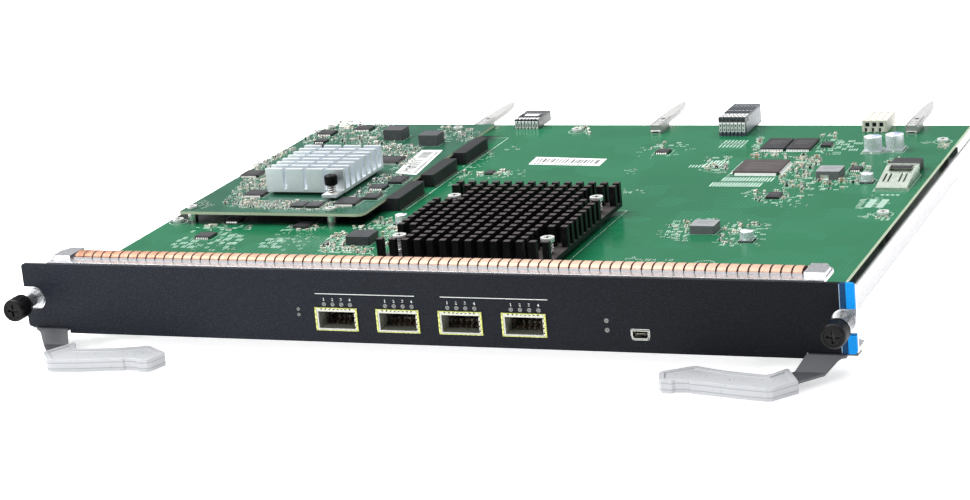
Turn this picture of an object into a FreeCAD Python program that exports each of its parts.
import FreeCAD, Part
import math
import os
import Sketcher
from FreeCAD import Vector, Placement, Rotation

# Switch line card for a chassis: a black front panel on a silver sheet-metal
# frame, a steel tray, a main circuit board with a raised processor board, four
# port cages, two ejector levers and two captive thumbscrews.
#
# Working frame of all sketches: X to the right seen from the front, Y to the
# rear, Z up.  Y = 0 is the front face of the panel, Z = 0 is the lower edge of
# the panel's two ends.  Every sub-part is then placed by origin_y and origin_z
# so that the card's origin is the bottom centre of its bounding box.

os.makedirs("parts", exist_ok=True)
doc = FreeCAD.newDocument("SwitchLineCard")
sheet = doc.addObject("Spreadsheet::Sheet", "Dims")
sheet.Label = "Dims"

DIMS = [
    ("origin_y", -170.15, "shift of the working frame to the card's origin"),
    ("origin_z", 10.2, "shift of the working frame to the card's origin"),
    ("panel_width", 400.0, "front panel, end to end"),
    ("panel_height", 31.0, "front panel, without its lower skirt"),
    ("panel_thick", 2.0, "front panel sheet"),
    ("skirt_drop", 2.6, "lower skirt between the levers"),
    ("skirt_half", 178.0, "half length of the skirt"),
    ("corner_radius", 1.5, "panel corners"),
    ("notch_radius", 5.8, "thumbscrew notch"),
    ("screw_x", 195.0, "thumbscrew axis from the middle"),
    ("screw_z", 14.0, "thumbscrew axis height"),
    ("frame_thick", 1.5, "silver frame sheet"),
    ("flange_half", 187.0, "half length of the top flange"),
    ("flange_depth", 22.0, "rear edge of the top flange"),
    ("port_first", -38.3, "centre of the first port"),
    ("port_pitch", 30.1, "port to port"),
    ("cage_width", 19.0, "port cage, outside"),
    ("cage_height", 9.9, "port cage, outside"),
    ("cage_length", 50.6, "port cage, outside"),
    ("cage_wall", 0.5, "port cage sheet"),
    ("cage_front", 0.6, "how far the cage stands out of the panel"),
    ("port_board_top", 3.5, "upper face of the port board"),
    ("port_board_thick", 1.6, "port board"),
    ("board_top", 14.1, "upper face of the main board"),
    ("board_thick", 2.0, "main board"),
    ("board_left", -193.0, "left edge of the main board"),
    ("board_right", 182.0, "right edge of the main board"),
    ("board_rear", 337.0, "rear edge of the main board"),
    ("mezz_top", 20.7, "upper face of the processor board"),
    ("mezz_thick", 1.6, "processor board"),
    ("tray_thick", 1.2, "tray sheet"),
    ("tray_wall", 9.0, "top of the tray's side walls"),
    ("tray_left", -194.8, "tray outside"),
    ("tray_right", 183.8, "tray outside"),
    ("tray_rear", 332.0, "tray outside"),
    ("fin_pitch", 6.38, "pins of the black heat sink"),
    ("fin_side", 3.2, "square pin of the black heat sink"),
    ("fin_x", -27.6, "reference pin of the black heat sink"),
    ("fin_y", 58.9, "front row of the black heat sink"),
    ("fin_base", 16.6, "underside of the black heat sink"),
    ("fin_floor", 19.1, "foot of the pins"),
    ("fin_top", 29.1, "top of the pins"),
    ("gasket_left", -175.5, "start of the spring gasket"),
    ("gasket_length", 351.5, "length of the spring gasket"),
    ("finger_pitch", 4.75, "finger to finger"),
    ("finger_slit", 0.45, "slit between two fingers"),
    ("pivot_x", 186.0, "lever pivot from the middle"),
    ("pivot_y", 9.0, "lever pivot behind the panel face"),
    ("lever_low", -1.5, "underside of the lever plate"),
    ("lever_thick", 1.4, "lever plate"),
    ("grip_thick", 5.8, "plastic grip"),
    ("grip_low", -10.2, "underside of the plastic grip"),
    ("lever_drop", 5.5, "step down of the lever plate in front of the panel"),
    ("rivet_radius", 2.0, "lever rivet shank"),
    ("knob_radius", 5.5, "thumbscrew knob"),
    ("knob_front", -20.0, "front face of the knob"),
    ("knob_length", 9.5, "knob"),
    ("shaft_radius", 2.0, "thumbscrew thread"),
    ("neck_radius", 1.6, "thumbscrew neck"),
    ("shaft_tip", 7.5, "rear end of the thumbscrew at rest"),
    ("blade_width", 6.4, "guide pin"),
    ("blade_tip", 374.0, "rear end of the guide pins"),
]


class Q:
    """A length that knows both its value and its spreadsheet expression."""

    def __init__(self, v, e):
        self.v = float(v)
        self.e = e

    def __add__(self, o):
        return Q(self.v + num(o), "(%s + %s)" % (self.e, exp(o)))

    def __radd__(self, o):
        return Q(num(o) + self.v, "(%s + %s)" % (exp(o), self.e))

    def __sub__(self, o):
        return Q(self.v - num(o), "(%s - %s)" % (self.e, exp(o)))

    def __rsub__(self, o):
        return Q(num(o) - self.v, "(%s - %s)" % (exp(o), self.e))

    def __mul__(self, o):
        return Q(self.v * num(o), "(%s * %s)" % (self.e, exp(o)))

    __rmul__ = __mul__

    def __truediv__(self, o):
        return Q(self.v / num(o), "(%s / %s)" % (self.e, exp(o)))

    def __neg__(self):
        return Q(-self.v, "(0 - %s)" % self.e)


def num(o):
    return o.v if isinstance(o, Q) else float(o)


def exp(o):
    return o.e if isinstance(o, Q) else repr(float(o))


G = {}
for row, (alias, value, note) in enumerate(DIMS, start=1):
    sheet.set("A%d" % row, alias)
    sheet.set("B%d" % row, repr(value))
    sheet.setAlias("B%d" % row, alias)
    sheet.set("C%d" % row, note)
    G[alias] = Q(value, "Dims." + alias)
doc.recompute()

OY, OZ = G["origin_y"], G["origin_z"]
W2 = G["panel_width"] / 2
BT = G["board_top"]
MT = G["mezz_top"]
NODES = []
COUNT = [0]


def fresh(stem):
    COUNT[0] += 1
    return "%s_%03d" % (stem, COUNT[0])


def bind(obj, prop, value):
    if isinstance(value, Q):
        obj.setExpression(prop, value.e)


def node(obj, name):
    """Final object of a sub-part: its Label is the node's name."""
    if obj.TypeId in ("Part::Box", "Part::Cylinder"):
        obj = group(obj)
    obj.Label = name
    obj.Placement = Placement(Vector(0, OY.v, OZ.v), Rotation())
    obj.setExpression("Placement.Base.y", OY.e)
    obj.setExpression("Placement.Base.z", OZ.e)
    NODES.append(obj)
    return obj


def new_body(name):
    b = doc.addObject("PartDesign::Body", name)
    return node(b, name)


def sketch(b, plane, loops, start):
    sk = b.newObject("Sketcher::SketchObject", fresh("Sketch"))
    ref = [f for f in b.Origin.OriginFeatures if f.Role == plane + "_Plane"][0]
    sk.AttachmentSupport = [(ref, "")]
    sk.MapMode = "FlatFace"
    off = -start if plane == "XZ" else start
    sk.AttachmentOffset = Placement(Vector(0, 0, num(off)), Rotation())
    bind(sk, "AttachmentOffset.Base.z", off)
    cons = []

    def fix(geo, pos, x, y):
        for kind, axis, c in (("DistanceX", -2, x), ("DistanceY", -1, y)):
            if not isinstance(c, Q) and abs(c) < 1e-9:
                cons.append((Sketcher.Constraint("PointOnObject", geo, pos, axis), None))
            else:
                cons.append((Sketcher.Constraint(kind, -1, 1, geo, pos, num(c)), c))

    for loop in loops:
        if loop[0] == "circle":
            _, (cx, cy), r = loop
            g = sk.addGeometry(Part.Circle(Vector(num(cx), num(cy), 0), Vector(0, 0, 1), num(r)), False)
            fix(g, 3, cx, cy)
            cons.append((Sketcher.Constraint("Radius", g, num(r)), r))
            continue
        pts = loop[1]
        if loop[0] == "rect":
            x0, y0, x1, y1 = pts
            pts = [(x0, y0), (x1, y0), (x1, y1), (x0, y1)]
        n = len(pts)
        first = None
        for k in range(n):
            a, c = pts[k], pts[(k + 1) % n]
            g = sk.addGeometry(Part.LineSegment(Vector(num(a[0]), num(a[1]), 0), Vector(num(c[0]), num(c[1]), 0)), False)
            first = g if first is None else first
        for k in range(n):
            cons.append((Sketcher.Constraint("Coincident", first + k, 2, first + (k + 1) % n, 1), None))
            fix(first + k, 1, pts[k][0], pts[k][1])
    sk.addConstraint([c for c, _ in cons])
    for i, (_, val) in enumerate(cons):
        if isinstance(val, Q):
            sk.setExpression("Constraints[%d]" % i, val.e)
    sk.Visibility = False
    return sk


def pad(b, plane, loops, start, length):
    """Material from start to start + length along the plane's own row axis."""
    sk = sketch(b, plane, loops, start)
    p = b.newObject("PartDesign::Pad", fresh("Pad"))
    p.Profile = sk
    p.Length = num(length)
    bind(p, "Length", length)
    p.Reversed = plane == "XZ"
    b.Tip = p
    return p


def pocket(b, plane, loops, start, length):
    """Cut from start to start + length along the plane's own row axis."""
    at = start if plane == "XZ" else start + length
    sk = sketch(b, plane, loops, at)
    p = b.newObject("PartDesign::Pocket", fresh("Pocket"))
    p.Profile = sk
    p.Length = num(length)
    bind(p, "Length", length)
    b.Tip = p
    return p


def repeat(b, feature, axis, pitch, count):
    """Copies of one feature in a row along X (H_Axis) or along Y (V_Axis)."""
    lp = b.newObject("PartDesign::LinearPattern", fresh("Row"))
    lp.Originals = [feature]
    lp.Direction = (feature.Profile[0], [axis])
    lp.Length = num(pitch * (count - 1))
    bind(lp, "Length", pitch * (count - 1))
    lp.Occurrences = count
    b.Tip = lp
    return lp


def round_edges(b, radius, test):
    """Fillet those edges of the body whose two ends satisfy the test."""
    doc.recompute()
    names = []
    for i, e in enumerate(b.Tip.Shape.Edges, start=1):
        if len(e.Vertexes) == 2 and test(e.Vertexes[0].Point, e.Vertexes[1].Point):
            names.append("Edge%d" % i)
    f = b.newObject("PartDesign::Fillet", fresh("Round"))
    f.Base = (b.Tip if b.Tip is not f else f.BaseFeature, names)
    f.Radius = num(radius)
    bind(f, "Radius", radius)
    b.Tip = f
    return f


def box(x0, y0, z0, dx, dy, dz):
    o = doc.addObject("Part::Box", fresh("Box"))
    o.Length, o.Width, o.Height = num(dx), num(dy), num(dz)
    bind(o, "Length", dx)
    bind(o, "Width", dy)
    bind(o, "Height", dz)
    o.Placement = Placement(Vector(num(x0), num(y0), num(z0)), Rotation())
    for axis, c in (("x", x0), ("y", y0), ("z", z0)):
        bind(o, "Placement.Base." + axis, c)
    return o


def cyl(x0, y0, z0, r, length, along="Z"):
    o = doc.addObject("Part::Cylinder", fresh("Cyl"))
    o.Radius, o.Height = num(r), num(length)
    bind(o, "Radius", r)
    bind(o, "Height", length)
    rot = Rotation() if along == "Z" else Rotation(Vector(1, 0, 0), -90)
    o.Placement = Placement(Vector(num(x0), num(y0), num(z0)), rot)
    for axis, c in (("x", x0), ("y", y0), ("z", z0)):
        bind(o, "Placement.Base." + axis, c)
    return o


def fuse(*objs):
    o = doc.addObject("Part::MultiFuse", fresh("Fuse"))
    o.Shapes = list(objs)
    return o


def cut(a, c):
    o = doc.addObject("Part::Cut", fresh("Cut"))
    o.Base, o.Tool = a, c
    return o


def common(a, c):
    o = doc.addObject("Part::Common", fresh("Common"))
    o.Base, o.Tool = a, c
    return o


def group(*objs):
    o = doc.addObject("Part::Compound", fresh("Group"))
    o.Links = list(objs)
    return o


def rounded(o, radius, which):
    """Rounded edges of one box; which picks edges by their two end points."""
    doc.recompute()
    f = doc.addObject("Part::Fillet", fresh("Soft"))
    f.Base = o
    f.Edges = [(i, radius, radius) for i, e in enumerate(o.Shape.Edges, start=1)
               if len(e.Vertexes) == 2 and which(e.Vertexes[0].Point, e.Vertexes[1].Point)]
    return f


def upright(a, c):
    return abs(a.x - c.x) < 1e-6 and abs(a.y - c.y) < 1e-6


def mirror_pts(pts, sx):
    return [(sx * x, y) for x, y in pts]


ports = [G["port_first"] + G["port_pitch"] * k for k in range(4)]
led_offsets = (-5.7, -1.4, 2.9, 7.2)
LED_Z = 15.35
cage_z0 = G["port_board_top"]
cage_z1 = cage_z0 + G["cage_height"]

# ---------------------------------------------------------------- front panel
b = new_body("faceplate")
SH, SK, PH = G["skirt_half"], G["skirt_drop"], G["panel_height"]
pad(b, "XZ", [("poly", [(-W2, 0), (-SH, 0), (-SH, -SK), (SH, -SK), (SH, 0), (W2, 0), (W2, PH), (-W2, PH)])],
    0, G["panel_thick"])
round_edges(b, G["corner_radius"], lambda p, q: abs(p.x - q.x) < 1e-6 and abs(p.z - q.z) < 1e-6 and (
    abs(abs(p.x) - W2.v) < 1e-6))
loops = [("rect", (c - 9.8, cage_z0 - 0.25, c + 9.8, cage_z1 + 0.25)) for c in ports]
loops += [("circle", (c + d, LED_Z), 1.0) for c in ports for d in led_offsets]
loops += [("circle", (-57.1, 12.7), 0.8), ("circle", (-57.1, 10.1), 0.8)]
loops += [("circle", (90.2, 11.6), 1.05), ("circle", (90.2, 7.3), 1.05)]
loops += [("poly", [(101.9, 3.55), (108.5, 3.55), (109.3, 5.0), (109.3, 7.75), (101.1, 7.75), (101.1, 5.0)])]
pocket(b, "XZ", loops, 0, G["panel_thick"])
NR, SX, SZ = G["notch_radius"], G["screw_x"], G["screw_z"]
pocket(b, "XZ", [("circle", (-SX, SZ), NR), ("circle", (SX, SZ), NR)], 0, G["panel_thick"])
pocket(b, "XZ", [("rect", (-W2 - 1, SZ - NR, -SX, SZ + NR)), ("rect", (SX, SZ - NR, W2 + 1, SZ + NR))],
       0, G["panel_thick"])

# -------------------------------------------------- silver frame behind it
b = new_body("panel_frame")
PT, FT, FH, FD = G["panel_thick"], G["frame_thick"], G["flange_half"], G["flange_depth"]
flange_z = PH - 1.0
pad(b, "XZ", [("rect", (-W2, 0.1, W2, flange_z))], PT, FT)
# tabs that carry the lever rivets
for sx in (-1, 1):
    pad(b, "XY", [("poly", mirror_pts([(170.0, PT + FT), (W2, PT + FT), (W2, 14.0), (193.0, 19.0), (176.0, 19.0), (170.0, 13.0)], sx))],
        0.1, FT)
PX, PY = G["pivot_x"], G["pivot_y"]
pocket(b, "XY", [("circle", (-PX, PY), G["rivet_radius"]), ("circle", (PX, PY), G["rivet_radius"])], 0.1, FT)
loops = [("rect", (c - 10.1, 2.9, c + 10.1, 17.0)) for c in ports]
loops += [("rect", (-59.2, 2.9, -55.2, 14.6)), ("rect", (88.2, 2.9, 92.2, 13.6)), ("rect", (100.7, 2.9, 109.7, 8.2))]
loops += [("circle", (-SX, SZ), 2.9), ("circle", (SX, SZ), 2.9)]
pocket(b, "XZ", loops, PT, FT)

# ------------------------ rail on the frame's top edge, under the gasket
b = new_body("gasket_rail")
pad(b, "XY", [("poly", [(-FH, PT), (FH, PT), (FH, FD), (-FH, FD)])], flange_z, FT)
round_edges(b, 4.5, lambda p, q: upright(p, q) and abs(p.y - FD.v) < 1e-6)
# raised lugs at the two ends of the gasket
for sx in (-1, 1):
    pad(b, "XY", [("poly", mirror_pts([(177.0, 7.0), (FH - 0.6, 7.0), (FH - 0.6, 15.5), (FH - 3.2, 20.4), (177.0, 20.4)], sx))],
        flange_z + FT, 1.8)

# ------------------------------------------- copper spring-finger gasket
b = new_body("emi_gasket")
top = flange_z + FT
outer = [(8.0, top), (8.5, top + 1.35), (9.9, top + 2.25), (12.3, top + 2.6), (15.0, top + 2.4),
         (17.4, top + 1.5), (18.9, top + 0.35), (20.9, top + 0.35)]
inner = [(20.9, top), (18.75, top), (17.15, top + 1.2), (14.9, top + 2.05), (12.3, top + 2.25),
         (10.1, top + 1.93), (8.85, top + 1.15), (8.4, top)]
GL = G["gasket_left"]
pad(b, "YZ", [("poly", outer + inner)], GL, G["gasket_length"])
slit_x = GL + 2 * G["finger_pitch"]
slit = pocket(b, "XY", [("rect", (slit_x, 7.0, slit_x + G["finger_slit"], 18.3))], top - 0.5, 4.0)
repeat(b, slit, "H_Axis", G["finger_pitch"], 72)

# ------------------------------------------------------------- steel tray
b = new_body("sheet_tray")
TL, TR, TT, TB = G["tray_left"], G["tray_right"], G["tray_thick"], G["tray_rear"]
tray_low = -SK
pad(b, "XY", [("poly", [(-150.0, PT + FT), (150.0, PT + FT), (150.0, 26.0), (TR, 26.0), (TR, TB), (TL, TB), (TL, 26.0),
                        (-150.0, 26.0)])], tray_low, TT)
wall = G["tray_wall"] - tray_low - TT
pad(b, "XY", [("rect", (TR - TT, 26.0, TR, TB))], tray_low + TT, wall)
pad(b, "XY", [("rect", (TL, 26.0, TL + TT, TB))], tray_low + TT, wall)
pad(b, "XY", [("rect", (-148.0, PT + FT, 148.0, PT + FT + TT))], tray_low + TT, 3.4)
pad(b, "XY", [("rect", (-186.0, TB - TT, 176.0, TB))], tray_low + TT, 5.0)
# air slots in the floor
air = pocket(b, "XY", [("rect", (-150.0, 90.0, -110.0, 96.0))], tray_low, TT)
doc.recompute()
grid = b.newObject("PartDesign::MultiTransform", fresh("Grid"))
row_x = b.newObject("PartDesign::LinearPattern", fresh("RowX"))
row_x.Direction = (air.Profile[0], ["H_Axis"])
row_x.Length = 240.0
row_x.Occurrences = 5
row_y = b.newObject("PartDesign::LinearPattern", fresh("RowY"))
row_y.Direction = (air.Profile[0], ["V_Axis"])
row_y.Length = 200.0
row_y.Occurrences = 6
grid.Originals = [air]
grid.Transformations = [row_x, row_y]
b.Tip = grid

# --------------------------------------------------------- circuit boards
main_screws = [(-35.5, 322.0), (174.4, 302.0), (174.4, 163.0), (-187.0, 131.0), (-184.0, 36.0), (172.0, 36.0)]
port_screws = [(-59.0, 78.0), (111.0, 78.0), (-59.0, 14.0), (112.0, 14.0)]
mezz_screws = [(-179.5, 133.5), (-101.0, 133.5), (-177.5, 303.0), (-98.0, 300.0)]
fx = lambda i: G["fin_x"] + G["fin_pitch"] * i
fy = lambda j: G["fin_y"] + G["fin_pitch"] * j
fin_screws = [(fx(-1.35), fy(2)), (fx(10.35), fy(2)), (fx(-1.35), fy(13)), (fx(10.35), fy(13))]
push_pins = [(-109.5, 155.2), (-145.0, 216.8)]

b = new_body("main_board")
BL, BR, BB, BH = G["board_left"], G["board_right"], G["board_rear"], G["board_thick"]
outline = [(BL + 6, 21.0), (-68.0, 21.0), (-68.0, 60.0), (120.0, 60.0), (120.0, 21.0), (BR - 6, 21.0), (BR, 27.0),
           (BR, BB), (BL, BB), (BL, 27.0)]
pad(b, "XY", [("poly", outline)], BT - BH, BH)
holes = [("circle", p, 1.6) for p in main_screws + fin_screws]
pocket(b, "XY", holes, BT - BH, BH)

b = new_body("port_board")
PBT, PBH = G["port_board_top"], G["port_board_thick"]
pad(b, "XY", [("rect", (-64.0, 5.2, 117.0, 84.0))], PBT - PBH, PBH)
pocket(b, "XY", [("circle", p, 1.3) for p in port_screws], PBT - PBH, PBH)

b = new_body("processor_board")
MH = G["mezz_thick"]
pad(b, "XY", [("poly", [(-184.0, 128.0), (-85.0, 128.0), (-82.2, 129.2), (-81.0, 132.0), (-81.0, 312.0), (-170.0, 312.0),
                        (-184.0, 298.0)])], MT - MH, MH)
pocket(b, "XY", [("circle", p, 1.6) for p in mezz_screws] + [("circle", p, 1.25) for p in push_pins], MT - MH, MH)

# ---------------------------------------------- standoffs, screws and nuts
floor = tray_low + TT
solids = []
for x, y in main_screws:
    h = BT - BH - floor
    solids.append(cut(cyl(x, y, floor, 2.75, h), cyl(x, y, BT - BH - 6.0, 1.4, 6.0)))
for x, y in port_screws:
    h = PBT - PBH - floor
    solids.append(cut(cyl(x, y, floor, 2.5, h), cyl(x, y, floor + 0.3, 1.2, h - 0.3)))
node(group(*solids), "tray_standoffs")


def pan_screw(x, y, seat, head_r, head_h, shank_r, shank_len):
    body = fuse(cyl(x, y, seat, head_r, head_h), cyl(x, y, seat - shank_len, shank_r, shank_len))
    cross = fuse(box(x - head_r * 0.62, y - 0.32, seat + head_h * 0.45, head_r * 1.24, 0.64, head_h),
                 box(x - 0.32, y - head_r * 0.62, seat + head_h * 0.45, 0.64, head_r * 1.24, head_h))
    return cut(body, cross)


node(group(*[pan_screw(x, y, BT, 2.9, 1.7, 1.4, BH + 5.5) for x, y in main_screws] +
           [pan_screw(x, y, PBT, 2.2, 1.3, 1.2, PBH + 2.6) for x, y in port_screws]), "board_screws")
node(group(*[cut(cyl(x, y, BT, 2.5, MT - MH - BT), cyl(x, y, MT - MH - 3.6, 1.4, 3.6)) for x, y in mezz_screws]),
     "processor_board_standoffs")
node(group(*[pan_screw(x, y, MT, 2.6, 1.5, 1.4, MH + 3.4) for x, y in mezz_screws]), "processor_board_screws")

# ----------------------------------------------------------- port cages
solids = []
CW, CH, CL, CT, CF = (G["cage_width"], G["cage_height"], G["cage_length"], G["cage_wall"], G["cage_front"])
for c in ports:
    solids.append(cut(box(c - CW / 2, -CF, cage_z0, CW, CL, CH),
                      box(c - CW / 2 + CT, -CF - 1, cage_z0 + CT, CW - 2 * CT, CL - CT + 1, CH - 2 * CT)))
node(group(*solids), "port_cages")
solids = []
for c in ports:
    ring = box(c - CW / 2 - 0.95, -0.5, cage_z0 - 0.45, CW + 1.9, 0.5, CH + 0.95)
    hole = box(c - CW / 2, -1.0, cage_z0, CW, 2.0, CH)
    solids.append(cut(ring, hole))
node(group(*solids), "port_emi_frames")
solids = []
for c in ports:
    blk = box(c - 8.2, 33.0, cage_z0 + CT, 16.4, 14.0, 7.0)
    slot = box(c - 7.6, 32.0, cage_z0 + CT + 2.7, 15.2, 8.0, 1.5)
    solids.append(cut(blk, slot))
node(group(*solids), "port_connectors")

# ------------------------------------------------------------- light pipes
solids = []
for c in ports:
    bars = [cyl(c + d, -0.15, LED_Z, 0.95, 12.2, "Y") for d in led_offsets]
    solids.append(fuse(box(c - 7.4, 12.0, cage_z1, 16.3, 2.2, 2.9), *bars))
node(group(*solids), "port_light_pipes")
left = fuse(box(-58.7, 8.0, PBT, 3.2, 2.2, 10.2), cyl(-57.1, -0.15, 12.7, 0.75, 8.2, "Y"), cyl(-57.1, -0.15, 10.1, 0.75, 8.2, "Y"))
right = fuse(box(88.5, 8.0, PBT, 3.4, 2.2, 9.6), cyl(90.2, -0.15, 11.6, 1.0, 8.2, "Y"), cyl(90.2, -0.15, 7.3, 1.0, 8.2, "Y"))
node(group(left, right), "status_light_pipes")

# ------------------------------------------------------------ console port
b = new_body("console_port_shell")
shell = [(102.1, 3.7), (108.3, 3.7), (109.05, 5.05), (109.05, 7.6), (101.35, 7.6), (101.35, 5.05)]
hollow = [(102.3, 4.05), (108.1, 4.05), (108.7, 5.1), (108.7, 7.25), (101.7, 7.25), (101.7, 5.1)]
pad(b, "XZ", [("poly", shell)], -0.25, 9.0)
pocket(b, "XZ", [("poly", hollow)], -0.25, 8.4)
pad(b, "XY", [("rect", (102.3, 5.4, 108.1, 8.7))], PBT, 0.25)
node(cut(box(102.6, 0.6, 5.35, 5.2, 7.5, 1.0), box(103.0, 0.2, 6.15, 4.4, 5.0, 0.4)), "console_port_tongue")

# -------------------------------------------------------- board connector
b = new_body("stacking_connector")
pad(b, "XY", [("rect", (-26.0, 66.0, 28.0, 74.0))], PBT, BT - BH - PBT)

# ---------------------------------------------------------- ejector levers
lever_pts = [(181.0, 15.6), (178.9, 9.0), (178.7, -0.8), (174.9, -8.0), (168.0, -17.5), (152.0, -18.2), (146.0, -20.5),
             (147.0, -26.0), (166.0, -29.2), (174.5, -25.2), (180.1, -18.8), (192.5, -3.0), (195.6, -1.0), (195.4, 2.4),
             (199.6, 2.4), (199.8, 8.4), (195.6, 9.2), (193.5, 14.5), (188.0, 16.6)]
grip_pts = [(180.2, -22.5), (178.6, -19.2), (172.9, -8.9), (171.9, -7.3), (170.4, -8.9), (166.8, -14.8), (164.4, -16.4),
            (146.0, -13.2), (132.6, -8.7), (130.6, -9.0), (119.4, -16.4), (118.5, -18.4), (120.8, -26.6), (122.4, -28.2),
            (127.2, -28.5), (128.2, -27.3), (134.4, -26.9), (135.2, -28.0), (141.0, -28.6), (156.0, -31.8), (169.4, -33.7),
            (171.9, -33.0)]
rim_pts = [(177.4, -22.2), (171.8, -12.0), (167.4, -19.0), (146.2, -15.9), (132.0, -11.3), (121.2, -18.5), (123.3, -25.6),
           (126.6, -25.9), (136.5, -25.3), (141.6, -26.1), (156.3, -29.4), (169.8, -31.0)]
LL, LT, LD = G["lever_low"], G["lever_thick"], G["lever_drop"]
levers = {}
for side, sx in (("left", -1), ("right", 1)):
    # a flat plate with a step down just in front of the panel
    b = doc.addObject("PartDesign::Body", side + "_lever_blank")
    pad(b, "XY", [("poly", mirror_pts(lever_pts, sx))], LL - 8.0, 12.0)
    pocket(b, "XY", [("circle", (sx * PX, PY), G["rivet_radius"] + 0.05)], LL - 8.0, 12.0)
    f = doc.addObject("PartDesign::Body", side + "_lever_fold")
    top, low = LL + LT, LL + LT - LD
    pad(f, "YZ", [("poly", [(20.0, top), (-1.6, top), (-8.4, low), (-40.0, low), (-40.0, low - LT), (-8.9, low - LT),
                            (-2.1, top - LT), (20.0, top - LT)])], 140.0 if sx > 0 else -205.0, 65.0)
    doc.recompute()
    node(common(b, f), side + "_lever")
    # moulded grip with a raised rim and a slot that the plate is pressed into
    g = doc.addObject("PartDesign::Body", side + "_grip_moulding")
    pad(g, "XY", [("poly", mirror_pts(grip_pts, sx))], G["grip_low"], G["grip_thick"])
    pocket(g, "XY", [("poly", mirror_pts(rim_pts, sx))], G["grip_low"] + G["grip_thick"] - 0.6, 0.6)
    pocket(g, "XY", [("poly", mirror_pts(lever_pts, sx))], low - LT, LT)
    doc.recompute()
    node(g, side + "_grip")
solids = []
for sx in (-1, 1):
    RR = G["rivet_radius"]
    solids.append(fuse(cyl(sx * PX, PY, -2.45, 3.6, 0.85), cyl(sx * PX, PY, -1.6, RR, 3.2), cyl(sx * PX, PY, 1.6, 3.3, 0.9)))
node(group(*solids), "lever_rivets")

# ----------------------------------------------------------- thumbscrews
KF, KL, KR, SR, NR = G["knob_front"], G["knob_length"], G["knob_radius"], G["shaft_radius"], G["neck_radius"]
for side, sx in (("left", -1), ("right", 1)):
    ax = SX * sx
    b = new_body(side + "_thumbscrew_knob")
    pad(b, "XZ", [("circle", (ax, SZ), KR)], KF, KL)
    pocket(b, "XZ", [("circle", (ax, SZ), 4.0)], KF + 3.0, KL - 3.0)
    pocket(b, "XZ", [("circle", (ax, SZ), NR)], KF + 1.6, 1.4)
    pocket(b, "XZ", [("poly", [(ax - 3.4, SZ - 0.6), (ax - 0.6, SZ - 0.6), (ax - 0.6, SZ - 3.4), (ax + 0.6, SZ - 3.4),
                               (ax + 0.6, SZ - 0.6), (ax + 3.4, SZ - 0.6), (ax + 3.4, SZ + 0.6), (ax + 0.6, SZ + 0.6),
                               (ax + 0.6, SZ + 3.4), (ax - 0.6, SZ + 3.4), (ax - 0.6, SZ + 0.6), (ax - 3.4, SZ + 0.6)])],
           KF, 1.3)
    node(fuse(cyl(ax, KF + 1.6, SZ, NR, 4.5 - KF - 1.6, "Y"), cyl(ax, 4.5, SZ, SR, G["shaft_tip"] - 4.5, "Y")), side + "_thumbscrew_shaft")
    sleeve = fuse(cyl(ax, -11.0, SZ, 2.9, 11.0 + PT + FT, "Y"), cyl(ax, 0.8, SZ, 4.6, PT - 0.8, "Y"))
    node(cut(sleeve, cyl(ax, -12.0, SZ, SR + 0.05, 17.0, "Y")), side + "_thumbscrew_ferrule")
    node(cut(cyl(ax, PT + FT + 0.05, SZ, 3.5, 0.8, "Y"), cyl(ax, PT, SZ, NR + 0.05, 4.0, "Y")), side + "_thumbscrew_clip")


def coil(radius, wire, height, turns):
    """A compression spring of eight-sided wire, in straight steps with mitred corners, standing on Z = 0."""
    steps = int(round(turns * 16))
    rise = height - 2.3 * wire
    path = [Vector(radius * math.cos(2 * math.pi * turns * k / steps), radius * math.sin(2 * math.pi * turns * k / steps),
                   1.15 * wire + rise * k / steps) for k in range(steps + 1)]
    runs = [(q - p).normalize() for p, q in zip(path[:-1], path[1:])]
    side = Vector(0, 0, 1).cross(runs[0]).normalize()
    over = runs[0].cross(side)
    ring = [path[0] + side * (wire * math.cos(math.pi * (k + 0.5) / 4)) + over * (wire * math.sin(math.pi * (k + 0.5) / 4))
            for k in range(8)]
    rings = [ring]
    for k in range(steps):
        run = runs[k]
        plane = run + runs[k + 1] if k + 1 < steps else Vector(run)
        far = path[k + 1]
        ring = [p + run * ((far - p).dot(plane) / run.dot(plane)) for p in ring]
        rings.append(ring)
    faces = [Part.Face(Part.makePolygon(rings[0][::-1] + [rings[0][-1]])), Part.Face(Part.makePolygon(rings[-1] + [rings[-1][0]]))]
    for low, high in zip(rings[:-1], rings[1:]):
        for k in range(8):
            m = (k + 1) % 8
            faces.append(Part.Face(Part.makePolygon([low[k], low[m], high[m], high[k], low[k]])))
    shell = Part.Shell(faces)
    s = Part.Solid(shell)
    if s.Volume < 0:
        s.reverse()
    return s


def spring_node(name, places):
    """places: (x, y, z, along, radius, wire, height, turns)."""
    shapes = []
    for x, y, z, along, r, wire, height, turns in places:
        s = coil(r, wire, height, turns)
        if along == "Y":
            s.rotate(Vector(0, 0, 0), Vector(1, 0, 0), -90)
        s.translate(Vector(x, y, z))
        shapes.append(s)
    o = doc.addObject("Part::Feature", name)
    o.Shape = Part.makeCompound(shapes)
    node(o, name)


for side, sx in (("left", -1), ("right", 1)):
    spring_node(side + "_thumbscrew_spring", [(SX.v * sx, KF.v + 3.0, SZ.v, "Y", 2.95, 0.3, 6.0, 3.5)])

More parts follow.
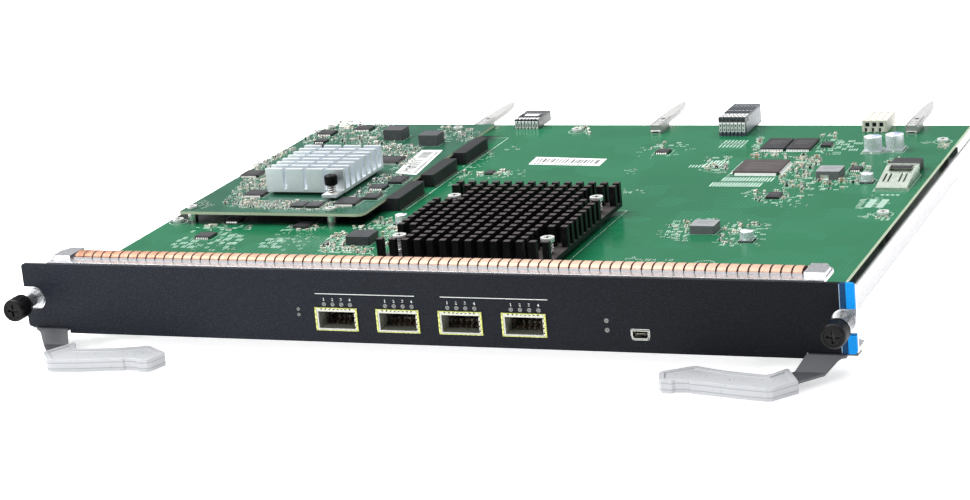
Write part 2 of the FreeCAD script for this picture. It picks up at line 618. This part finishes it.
# ------------------------------------------------- black pin-fin heat sink
b = new_body("pin_fin_heatsink")
FP, FS = G["fin_pitch"], G["fin_side"]
x0, x1 = fx(-2) - FS / 2, fx(11) + FS / 2
y0, y1 = fy(0) - FS / 2, fy(16) + FS / 2
pad(b, "XY", [("rect", (x0, y0, x1, y1))], G["fin_base"], G["fin_top"] - G["fin_base"])
tall = G["fin_top"] - G["fin_floor"]
lane = pocket(b, "XY", [("rect", (x0 + FS, y0 - 1, x0 + FP, y1 + 1))], G["fin_floor"], tall)
repeat(b, lane, "H_Axis", FP, 13)
lane = pocket(b, "XY", [("rect", (x0 - 1, y0 + FS, x1 + 1, y0 + FP))], G["fin_floor"], tall)
repeat(b, lane, "V_Axis", FP, 16)
corners = []
for i0, i1 in ((-2, -1), (10, 11)):
    for j0, j1 in ((1, 3), (12, 14)):
        corners.append(("rect", (fx(i0) - FS, fy(j0) - FS / 2 - 0.5, fx(i1) + FS / 2 + 0.5 if i0 < 0 else fx(i1) + FS,
                                 fy(j1) + FS / 2 + 0.5)) if i0 < 0 else
                       ("rect", (fx(i0) - FS / 2 - 0.5, fy(j0) - FS / 2 - 0.5, fx(i1) + FS, fy(j1) + FS / 2 + 0.5)))
pocket(b, "XY", corners, G["fin_floor"], tall)
pocket(b, "XY", [("circle", p, 1.6) for p in fin_screws], G["fin_base"], G["fin_floor"] - G["fin_base"])

node(group(*[pan_screw(x, y, 25.4, 3.3, 1.9, 1.5, 15.0) for x, y in fin_screws]), "heatsink_screws")
node(group(*[cut(cyl(x, y, BT - BH - 1.8, 3.0, 1.8), cyl(x, y, BT - BH - 2.5, 1.5, 3.0)) for x, y in fin_screws]),
     "heatsink_nuts")
spring_node("heatsink_springs", [(num(x), num(y), G["fin_floor"].v, "Z", 2.35, 0.32, 6.3, 4) for x, y in fin_screws])

b = new_body("switch_chip")
cx, cy = (x0 + x1) / 2, (y0 + y1) / 2
pad(b, "XY", [("rect", (cx - 21.25, cy - 21.25, cx + 21.25, cy + 21.25))], BT, 1.0)
pad(b, "XY", [("rect", (cx - 18.0, cy - 18.0, cx + 18.0, cy + 18.0))], BT + 1.0, G["fin_base"] - BT - 1.0)

# --------------------------------------------- silver processor heat sink
b = new_body("processor_heatsink")
hs0, hs1, hsy0, hsy1 = -149.4, -105.0, 161.0, 211.0
base = MT + 1.6
pad(b, "XY", [("rect", (hs0, hsy0, hs1, hsy1))], base, 12.4)
chan = pocket(b, "XY", [("rect", (hs0 - 1, hsy0 + 2.2, hs1 + 1, hsy0 + 6.83))], base + 1.8, 10.6)
repeat(b, chan, "V_Axis", Q(6.83, "6.83"), 7)
pocket(b, "XY", [("rect", (hs0 + 9.7 + 11.55 * k, hsy0 - 1, hs0 + 11.55 + 11.55 * k, hsy1 + 1)) for k in range(3)],
       base + 1.8, 10.6)
for x, y in push_pins:
    pad(b, "XY", [("rect", (x - 4.2, min(y, 161.0) - (4.2 if y < 180 else 0.0) if y < 180 else 210.0,
                            x + 4.2, 162.0 if y < 180 else y + 4.2))], base, 1.5)
pocket(b, "XY", [("circle", p, 1.3) for p in push_pins], base, 1.5)
node(box(-148.0, 165.0, MT, 41.0, 41.0, 1.6), "processor_chip")
solids = []
for x, y in push_pins:
    solids.append(fuse(cyl(x, y, MT + 8.6, 3.1, 3.0), cyl(x, y, MT - MH - 1.2, 1.2, MH + 1.2 + 8.6)))
node(group(*solids), "push_pins")
spring_node("push_pin_springs", [(x, y, MT.v + 3.1, "Z", 2.0, 0.28, 5.5, 4) for x, y in push_pins])

# ------------------------------------------------ processor board parts
chips = [(-182.4, 195.0, 10.4, 10.5, 1.3), (-161.5, 156.5, 10.8, 9.5, 1.2), (-178.6, 285.0, 9.4, 8.6, 1.3),
         (-160.5, 296.0, 10.0, 8.0, 1.3), (-172.5, 268.0, 6.6, 6.0, 1.2), (-125.6, 137.5, 7.2, 8.6, 1.1),
         (-117.0, 137.5, 7.2, 8.6, 1.1), (-103.4, 142.0, 11.6, 12.5, 1.3), (-117.4, 224.5, 14.4, 12.0, 1.4),
         (-91.6, 184.6, 7.6, 12.0, 1.3), (-97.2, 172.5, 8.4, 8.0, 1.2), (-92.2, 154.0, 7.4, 9.0, 1.2)]
node(group(*[box(x, y, MT, dx, dy, dz) for x, y, dx, dy, dz in chips]), "processor_board_chips")
node(group(*[rounded(box(x, y, MT, dx, dy, dz), 0.5, upright) for x, y, dx, dy, dz in
             [(-133.0, 275.0, 11.6, 10.8, 5.9), (-106.8, 263.5, 11.3, 10.6, 5.9)]]), "processor_board_inductors")
solids = []
for y in (157.0, 202.8, 248.6):
    under = rounded(box(-88.0, y, BT, 14.4, 34.4, MT - MH - BT), 0.8, upright)
    beside = rounded(box(-80.6, y, BT, 7.0, 34.4, MT - BT), 0.8, upright)
    solids.append(fuse(under, beside))
node(group(*solids), "processor_board_connectors")

# ------------------------------------------------------- main board parts
chips = [(-162.4, 101.5, 8.6, 8.6, 1.3), (-159.8, 130.8, 7.4, 7.0, 1.1),
         (-118.0, 123.0, 8.0, 8.6, 1.2), (25.6, 273.6, 7.2, 7.0, 1.2), (-55.0, 228.2, 4.0, 6.6, 1.0),
         (109.8, 187.6, 6.6, 9.4, 1.2), (112.2, 289.0, 5.4, 7.0, 1.3), (139.2, 241.0, 6.0, 6.0, 1.2)]
node(group(*[box(x, y, BT, dx, dy, dz) for x, y, dx, dy, dz in chips]), "main_board_chips")
node(box(80.4, 233.0, BT, 24.0, 24.0, 1.8), "control_chip")
node(group(*[box(x, 281.5, BT, 13.0, 21.5, 1.5) for x in (81.4, 95.4)]), "memory_chips")
node(group(*[rounded(box(x, y, BT, dx, dy, dz), 0.9, upright) for x, y, dx, dy, dz in
             [(-76.6, 96.0, 12.8, 12.4, 4.3), (89.8, 125.0, 12.3, 11.2, 4.0), (125.8, 225.0, 12.4, 11.8, 4.2)]]),
     "power_inductors")


def can(x, y, r, h):
    return fuse(box(x - r, y - r, BT, 2 * r, 2 * r, 1.0), cyl(x, y, BT + 1.0, r - 0.15, h - 1.0))


node(group(can(142.2, 282.0, 4.8, 7.9), can(153.0, 285.2, 4.9, 8.3)), "large_capacitors")
node(group(can(-63.2, 135.0, 3.2, 4.6), can(120.9, 115.5, 3.4, 4.8), can(153.2, 221.0, 3.3, 4.5)), "small_capacitors")

# ----------------------------------------------------- shielded module slot
b = new_body("shielded_slot")
pad(b, "YZ", [("poly", [(206.0, BT), (206.0, BT + 1.4), (233.0, BT + 5.8), (236.0, BT + 5.8), (236.0, BT)])], 160.6, 15.8)
pocket(b, "YZ", [("poly", [(207.2, BT + 0.5), (207.2, BT + 1.0), (233.0, BT + 5.2), (235.4, BT + 5.2), (235.4, BT + 0.5)])],
       161.1, 14.8)
pocket(b, "XY", [("rect", (163.2, 226.0, 174.4, 232.4))], BT + 3.6, 3.0)
for k in (162.6, 165.0, 170.4, 172.8):
    pocket(b, "XY", [("rect", (k, 213.0, k + 0.8, 223.0))], BT + 1.6, 3.4)
node(box(160.8, 236.0, BT, 14.6, 14.0, 5.0), "slot_housing")

# ----------------------------------------------------------- rear connectors
for name, cx0, cy0, wide, deep, high in (("backplane_connector_left", -75.2, 328.5, 14.4, 21.0, 5.4),
                                         ("backplane_connector_right", 49.8, 313.0, 15.0, 32.0, 10.2)):
    b = new_body(name)
    pad(b, "XY", [("rect", (cx0, cy0, cx0 + wide, cy0 + deep))], BT, high)
    # slots between the contact wafers
    n = 7
    step = wide / n
    loops = [("rect", (cx0 + step * k - 0.3, cy0 - 1.0, cx0 + step * k + 0.3, cy0 + deep * 0.55)) for k in range(1, n)]
    pocket(b, "XY", loops, BT + 0.8, high)
b = new_body("power_connector")
pad(b, "XY", [("rect", (126.8, 322.0, 140.4, 343.0))], BT, 6.4)
pocket(b, "XZ", [("rect", (128.6 + 3.8 * k, BT + 1.6, 131.0 + 3.8 * k, BT + 4.6)) for k in range(3)], 335.0, 8.0)
BW, BTIP = G["blade_width"], G["blade_tip"]
solids = []
for cx in (-92.6, 12.0, 154.4):
    foot = box(cx - BW / 2, 318.0, BT, BW, 16.0, 2.2)
    gb = doc.addObject("PartDesign::Body", fresh("Blade"))
    pad(gb, "XY", [("poly", [(cx - BW / 2, 318.0), (cx + BW / 2, 318.0), (cx + BW / 2, BTIP - 20.0),
                             (cx + BW / 2 - 1.4, BTIP - 6.0), (cx + 0.5, BTIP), (cx - 0.5, BTIP),
                             (cx - BW / 2 + 1.4, BTIP - 6.0), (cx - BW / 2, BTIP - 20.0)])], BT + 2.2, 2.6)
    solids.append(fuse(gb, foot))
node(group(*solids), "guide_pins")

# ------------------------------------------------------------------ checks
doc.recompute()
bad = [o.Name for o in doc.Objects if "Invalid" in o.State or "Error" in o.State]
if bad:
    raise SystemExit("failed objects: %s" % ", ".join(bad))
names = [o.Label for o in NODES]
if len(set(names)) != len(names) or len(names) > 60:
    raise SystemExit("node names: %d, %d different" % (len(names), len(set(names))))
for o in NODES:
    s = o.Shape
    if s.isNull() or not s.isValid() or not s.Solids:
        raise SystemExit("bad shape: " + o.Label)
box_all = FreeCAD.BoundBox()
for o in NODES:
    s = o.Shape
    s.exportStep("parts/%s.step" % o.Label)
    box_all.add(s.BoundBox)
    print("%-28s solids %3d  volume %10.1f  x %.1f..%.1f y %.1f..%.1f z %.1f..%.1f" % (
        o.Label, len(s.Solids), s.Volume, s.BoundBox.XMin, s.BoundBox.XMax, s.BoundBox.YMin, s.BoundBox.YMax,
        s.BoundBox.ZMin, s.BoundBox.ZMax))
print("nodes %d" % len(NODES))
print("box x %.2f..%.2f y %.2f..%.2f z %.2f..%.2f" % (box_all.XMin, box_all.XMax, box_all.YMin, box_all.YMax,
                                                    box_all.ZMin, box_all.ZMax))
